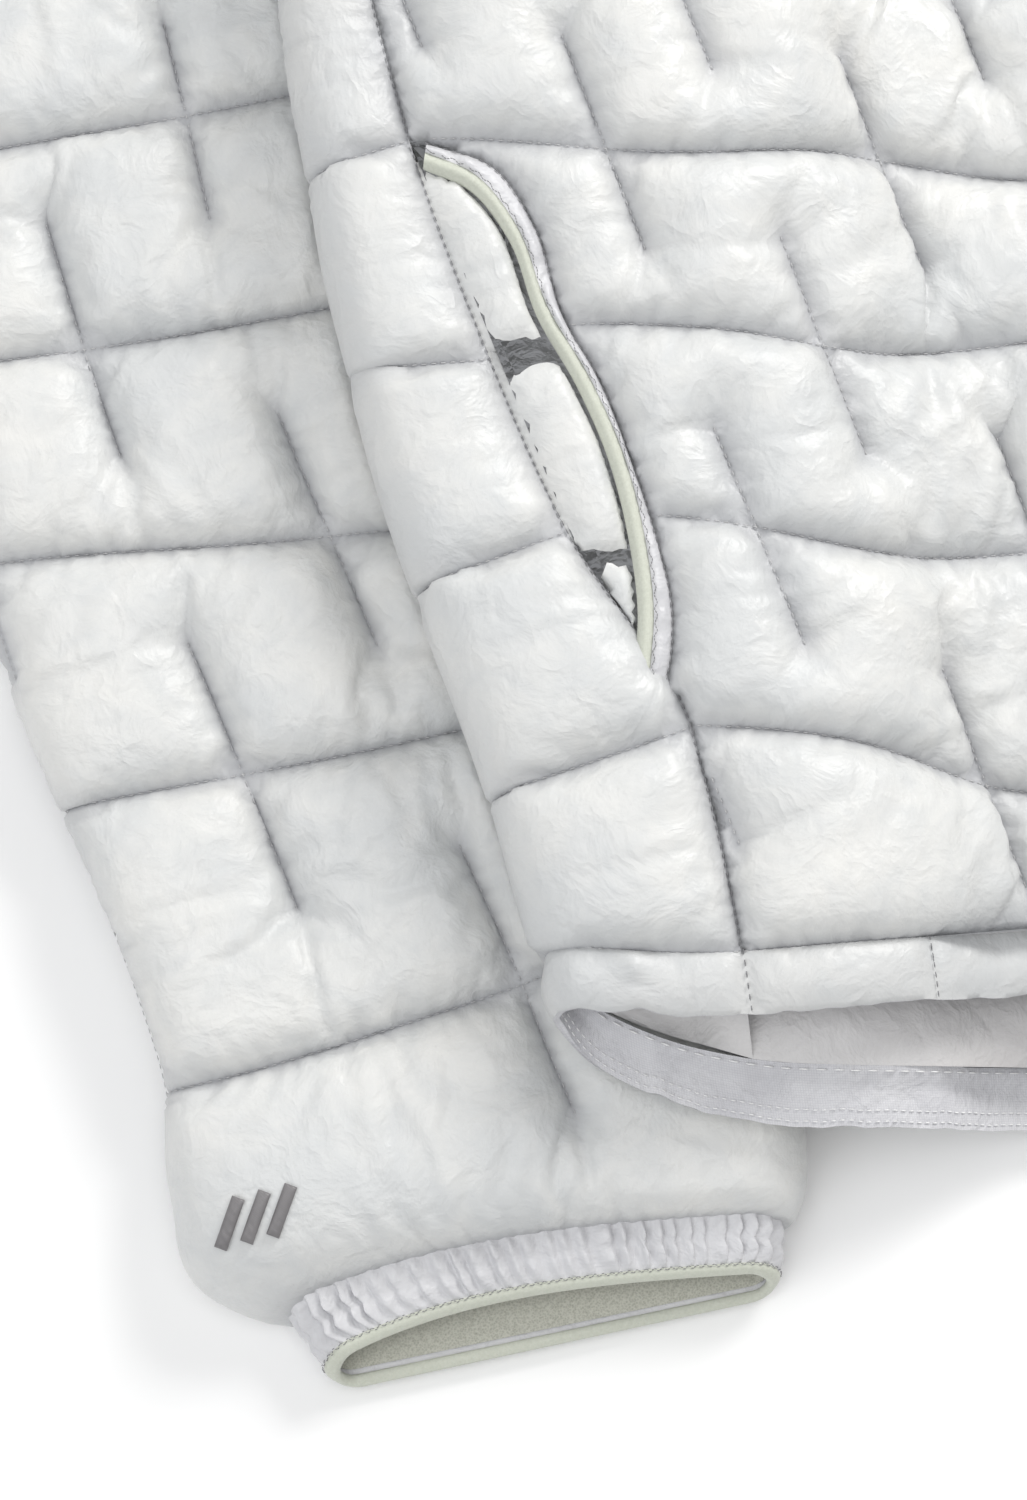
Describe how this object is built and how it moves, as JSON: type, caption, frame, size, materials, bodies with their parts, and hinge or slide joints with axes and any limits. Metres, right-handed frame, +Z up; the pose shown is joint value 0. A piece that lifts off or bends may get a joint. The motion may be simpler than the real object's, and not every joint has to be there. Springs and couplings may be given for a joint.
{
  "type": "quilted down jacket",
  "caption": "Quilted down jacket with stand collar, front zip, slanted bound pockets and gathered cuffs, zipped up and lying flat on its back.",
  "frame": {"origin": "centre of the jacket's outline on the surface that it lies on", "axes": "+X towards the wearer's left, +Y from hem to collar, +Z up from the surface, out of the jacket's front"},
  "size_m": [0.8206, 0.788, 0.061],
  "materials": {
    "shell": "satin",
    "down": "matte",
    "lining": "satin",
    "elastic": "matte",
    "binding": "matte",
    "facing": "matte",
    "satin_thread": "satin",
    "label": "satin",
    "zip_tape": "matte",
    "zip_teeth": "semi-matte",
    "zip_metal": "satin"
  },
  "bodies": {
    "jacket": {"back_down": "down", "back_lining": "lining", "back_shell": "shell", "care_label": "label", "collar_down": "down", "collar_lining": "lining", "collar_shell": "shell", "cuff_band_left": "shell", "cuff_band_right": "shell", "cuff_binding_left": "binding", "cuff_binding_right": "binding", "cuff_elastic_left": "elastic", "cuff_elastic_right": "elastic", "cuff_facing_left": "facing", "cuff_facing_right": "facing", "front_left_down": "down", "front_left_lining": "lining", "front_left_shell": "shell", "front_right_down": "down", "front_right_lining": "lining", "front_right_shell": "shell", "hanger_loop": "lining", "hem_band_back": "lining", "hem_band_left": "shell", "hem_band_right": "shell", "hem_elastic_back": "elastic", "hem_elastic_front": "elastic", "neck_label": "label", "pocket_bag_left": "lining", "pocket_bag_right": "lining", "pocket_binding_left": "binding", "pocket_binding_right": "binding", "pocket_welt_left": "shell", "pocket_welt_right": "shell", "shoulder_tapes": "binding", "side_left_down": "down", "side_left_lining": "lining", "side_left_shell": "shell", "side_right_down": "down", "side_right_lining": "lining", "side_right_shell": "shell", "sleeve_left_down": "down", "sleeve_left_lining": "lining", "sleeve_left_shell": "shell", "sleeve_mark_right": "satin_thread", "sleeve_right_down": "down", "sleeve_right_lining": "lining", "sleeve_right_shell": "shell", "zip_box": "zip_teeth", "zip_chin_guard": "lining", "zip_coil_left": "zip_teeth", "zip_coil_right": "zip_teeth", "zip_draft_flap": "lining", "zip_pin": "zip_teeth", "zip_tape_left": "zip_tape", "zip_tape_right": "zip_tape", "zip_top_stops": "zip_teeth"},
    "zip_slider": {"zip_slider": "zip_metal"},
    "zip_pull": {"zip_pull": "zip_metal"}
  },
  "joints": [
    {"name": "zip_slide", "type": "slide", "parent": "jacket", "child": "zip_slider", "axis": [0, -1, 0], "range_m": [0, 0.62], "deforming": ["zip_coil_right", "zip_coil_left"]},
    {"name": "pull_swing", "type": "hinge", "parent": "zip_slider", "child": "zip_pull", "pos_m": [0, 0.31635, 0.03065], "axis": [-1, 0, 0], "range_deg": [0, 135]}
  ]
}
